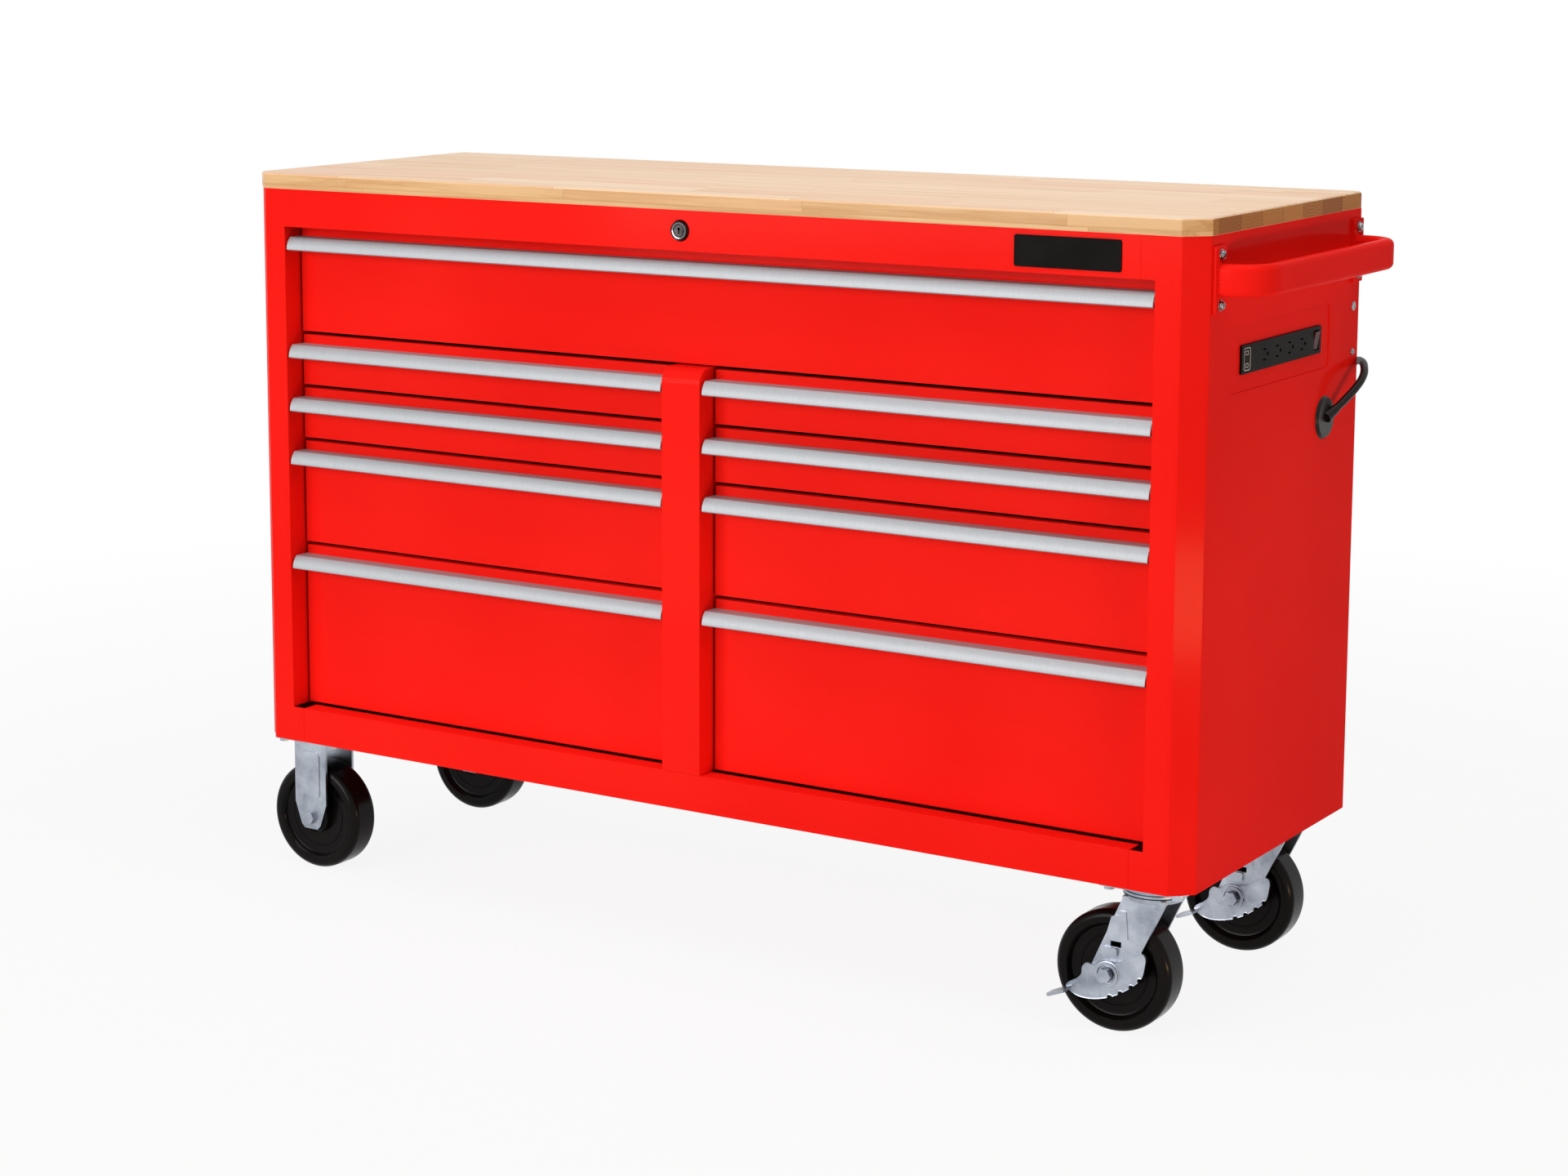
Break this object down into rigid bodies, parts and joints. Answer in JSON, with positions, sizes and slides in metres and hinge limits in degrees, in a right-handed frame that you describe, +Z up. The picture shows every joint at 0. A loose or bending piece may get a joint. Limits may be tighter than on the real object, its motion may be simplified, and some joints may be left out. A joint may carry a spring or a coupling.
{
  "type": "rolling tool chest",
  "caption": "Wide rolling tool chest: steel cabinet with sliding drawers under a wooden worktop, side handle, power strip, and rigid and braked swivel casters.",
  "frame": {"origin": "on the floor below the middle of the chest's box, measured without the cord", "axes": "+X to the chest's right side with the handle, +Y to its back, +Z up; the drawers open towards -Y"},
  "size_m": [1.494, 0.786, 0.993],
  "materials": {
    "red_paint": "gloss red powder coat",
    "wood": "clear-coated solid wood",
    "aluminium": "satin anodised",
    "zinc_steel": "bright zinc plate",
    "chrome_plate": "polished",
    "black_plastic": "fine matt",
    "cord_rubber": "smooth jacket",
    "dark_red_plastic": "glossy",
    "wheel_black": "hard glossy black"
  },
  "bodies": {
    "cabinet": {"side_left": "red_paint", "side_right": "red_paint", "back_panel": "red_paint", "base_pan": "red_paint", "top_deck": "red_paint", "header_rail": "red_paint", "bottom_rail": "red_paint", "center_frame": "red_paint", "cross_rail": "zinc_steel", "worktop": "wood", "handle": "red_paint", "side_fasteners": "zinc_steel", "power_strip": "black_plastic", "grommet": "cord_rubber", "badge_plate": "black_plastic", "lock_housing": "chrome_plate", "slide_channels": "zinc_steel", "rigid_forks": "zinc_steel", "swivel_plates": "zinc_steel", "caster_bolts": "zinc_steel", "power_cord": "cord_rubber", "cord_coil": "cord_rubber", "cord_plug": "cord_rubber"},
    "lock_plug": {"lock_plug": "chrome_plate"},
    "rocker": {"rocker": "dark_red_plastic"},
    "fork_front": {"fork_front": "zinc_steel"},
    "fork_rear": {"fork_rear": "zinc_steel"},
    "pedal_front": {"pedal_front": "zinc_steel"},
    "pedal_rear": {"pedal_rear": "zinc_steel"},
    "wheel_left_front": {"wheel_left_front": "wheel_black"},
    "wheel_left_rear": {"wheel_left_rear": "wheel_black"},
    "wheel_right_front": {"wheel_right_front": "wheel_black"},
    "wheel_right_rear": {"wheel_right_rear": "wheel_black"},
    "drawer_top": {"drawer_top": "red_paint", "pull_top": "aluminium"},
    "slide_top": {"slide_top": "zinc_steel"},
    "drawer_left_2": {"drawer_left_2": "red_paint", "pull_left_2": "aluminium"},
    "slide_left_2": {"slide_left_2": "zinc_steel"},
    "drawer_left_3": {"drawer_left_3": "red_paint", "pull_left_3": "aluminium"},
    "slide_left_3": {"slide_left_3": "zinc_steel"},
    "drawer_left_4": {"drawer_left_4": "red_paint", "pull_left_4": "aluminium"},
    "slide_left_4": {"slide_left_4": "zinc_steel"},
    "drawer_left_5": {"drawer_left_5": "red_paint", "pull_left_5": "aluminium"},
    "slide_left_5": {"slide_left_5": "zinc_steel"},
    "drawer_right_2": {"drawer_right_2": "red_paint", "pull_right_2": "aluminium"},
    "slide_right_2": {"slide_right_2": "zinc_steel"},
    "drawer_right_3": {"drawer_right_3": "red_paint", "pull_right_3": "aluminium"},
    "slide_right_3": {"slide_right_3": "zinc_steel"},
    "drawer_right_4": {"drawer_right_4": "red_paint", "pull_right_4": "aluminium"},
    "slide_right_4": {"slide_right_4": "zinc_steel"},
    "drawer_right_5": {"drawer_right_5": "red_paint", "pull_right_5": "aluminium"},
    "slide_right_5": {"slide_right_5": "zinc_steel"}
  },
  "joints": [
    {"name": "lock_turn", "type": "hinge", "parent": "cabinet", "child": "lock_plug", "pos_m": [-0.03, -0.2405, 0.946], "axis": [0, 1, 0], "range_deg": [0, 90]},
    {"name": "rocker_tilt", "type": "hinge", "parent": "cabinet", "child": "rocker", "pos_m": [0.6805, 0.1025, 0.8185], "axis": [0, -1, 0], "range_deg": [0, 16]},
    {"name": "swivel_front", "type": "hinge", "parent": "cabinet", "child": "fork_front", "pos_m": [0.615, -0.1855, 0.1775], "axis": [0, 0, 1], "continuous": true},
    {"name": "wheel_right_front_spin", "type": "hinge", "parent": "fork_front", "child": "wheel_right_front", "pos_m": [0.571, -0.1855, 0.076], "axis": [0, 1, 0], "continuous": true},
    {"name": "wheel_left_front_spin", "type": "hinge", "parent": "cabinet", "child": "wheel_left_front", "pos_m": [-0.675, -0.1855, 0.076], "axis": [0, 1, 0], "continuous": true},
    {"name": "brake_front", "type": "hinge", "parent": "fork_front", "child": "pedal_front", "pos_m": [0.571, -0.1855, 0.076], "axis": [0, -1, 0], "range_deg": [0, 12]},
    {"name": "swivel_rear", "type": "hinge", "parent": "cabinet", "child": "fork_rear", "pos_m": [0.615, 0.1875, 0.1775], "axis": [0, 0, 1], "continuous": true},
    {"name": "wheel_right_rear_spin", "type": "hinge", "parent": "fork_rear", "child": "wheel_right_rear", "pos_m": [0.571, 0.1875, 0.076], "axis": [0, 1, 0], "continuous": true},
    {"name": "wheel_left_rear_spin", "type": "hinge", "parent": "cabinet", "child": "wheel_left_rear", "pos_m": [-0.675, 0.1875, 0.076], "axis": [0, 1, 0], "continuous": true},
    {"name": "brake_rear", "type": "hinge", "parent": "fork_rear", "child": "pedal_rear", "pos_m": [0.571, 0.1875, 0.076], "axis": [0, -1, 0], "range_deg": [0, 12]},
    {"name": "drawer_top_slide", "type": "slide", "parent": "cabinet", "child": "drawer_top", "axis": [0, -1, 0], "range_m": [0, 0.38]},
    {"name": "member_top_slide", "type": "slide", "parent": "cabinet", "child": "slide_top", "axis": [0, -1, 0], "range_m": [0, 0.19]},
    {"name": "drawer_left_2_slide", "type": "slide", "parent": "cabinet", "child": "drawer_left_2", "axis": [0, -1, 0], "range_m": [0, 0.38]},
    {"name": "member_left_2_slide", "type": "slide", "parent": "cabinet", "child": "slide_left_2", "axis": [0, -1, 0], "range_m": [0, 0.19]},
    {"name": "drawer_left_3_slide", "type": "slide", "parent": "cabinet", "child": "drawer_left_3", "axis": [0, -1, 0], "range_m": [0, 0.38]},
    {"name": "member_left_3_slide", "type": "slide", "parent": "cabinet", "child": "slide_left_3", "axis": [0, -1, 0], "range_m": [0, 0.19]},
    {"name": "drawer_left_4_slide", "type": "slide", "parent": "cabinet", "child": "drawer_left_4", "axis": [0, -1, 0], "range_m": [0, 0.38]},
    {"name": "member_left_4_slide", "type": "slide", "parent": "cabinet", "child": "slide_left_4", "axis": [0, -1, 0], "range_m": [0, 0.19]},
    {"name": "drawer_left_5_slide", "type": "slide", "parent": "cabinet", "child": "drawer_left_5", "axis": [0, -1, 0], "range_m": [0, 0.38]},
    {"name": "member_left_5_slide", "type": "slide", "parent": "cabinet", "child": "slide_left_5", "axis": [0, -1, 0], "range_m": [0, 0.19]},
    {"name": "drawer_right_2_slide", "type": "slide", "parent": "cabinet", "child": "drawer_right_2", "axis": [0, -1, 0], "range_m": [0, 0.38]},
    {"name": "member_right_2_slide", "type": "slide", "parent": "cabinet", "child": "slide_right_2", "axis": [0, -1, 0], "range_m": [0, 0.19]},
    {"name": "drawer_right_3_slide", "type": "slide", "parent": "cabinet", "child": "drawer_right_3", "axis": [0, -1, 0], "range_m": [0, 0.38]},
    {"name": "member_right_3_slide", "type": "slide", "parent": "cabinet", "child": "slide_right_3", "axis": [0, -1, 0], "range_m": [0, 0.19]},
    {"name": "drawer_right_4_slide", "type": "slide", "parent": "cabinet", "child": "drawer_right_4", "axis": [0, -1, 0], "range_m": [0, 0.38]},
    {"name": "member_right_4_slide", "type": "slide", "parent": "cabinet", "child": "slide_right_4", "axis": [0, -1, 0], "range_m": [0, 0.19]},
    {"name": "drawer_right_5_slide", "type": "slide", "parent": "cabinet", "child": "drawer_right_5", "axis": [0, -1, 0], "range_m": [0, 0.38]},
    {"name": "member_right_5_slide", "type": "slide", "parent": "cabinet", "child": "slide_right_5", "axis": [0, -1, 0], "range_m": [0, 0.19]}
  ],
  "couplings": [
    {"joint": "member_top_slide", "follows": "drawer_top_slide", "ratio": 0.5},
    {"joint": "member_left_2_slide", "follows": "drawer_left_2_slide", "ratio": 0.5},
    {"joint": "member_left_3_slide", "follows": "drawer_left_3_slide", "ratio": 0.5},
    {"joint": "member_left_4_slide", "follows": "drawer_left_4_slide", "ratio": 0.5},
    {"joint": "member_left_5_slide", "follows": "drawer_left_5_slide", "ratio": 0.5},
    {"joint": "member_right_2_slide", "follows": "drawer_right_2_slide", "ratio": 0.5},
    {"joint": "member_right_3_slide", "follows": "drawer_right_3_slide", "ratio": 0.5},
    {"joint": "member_right_4_slide", "follows": "drawer_right_4_slide", "ratio": 0.5},
    {"joint": "member_right_5_slide", "follows": "drawer_right_5_slide", "ratio": 0.5}
  ]
}
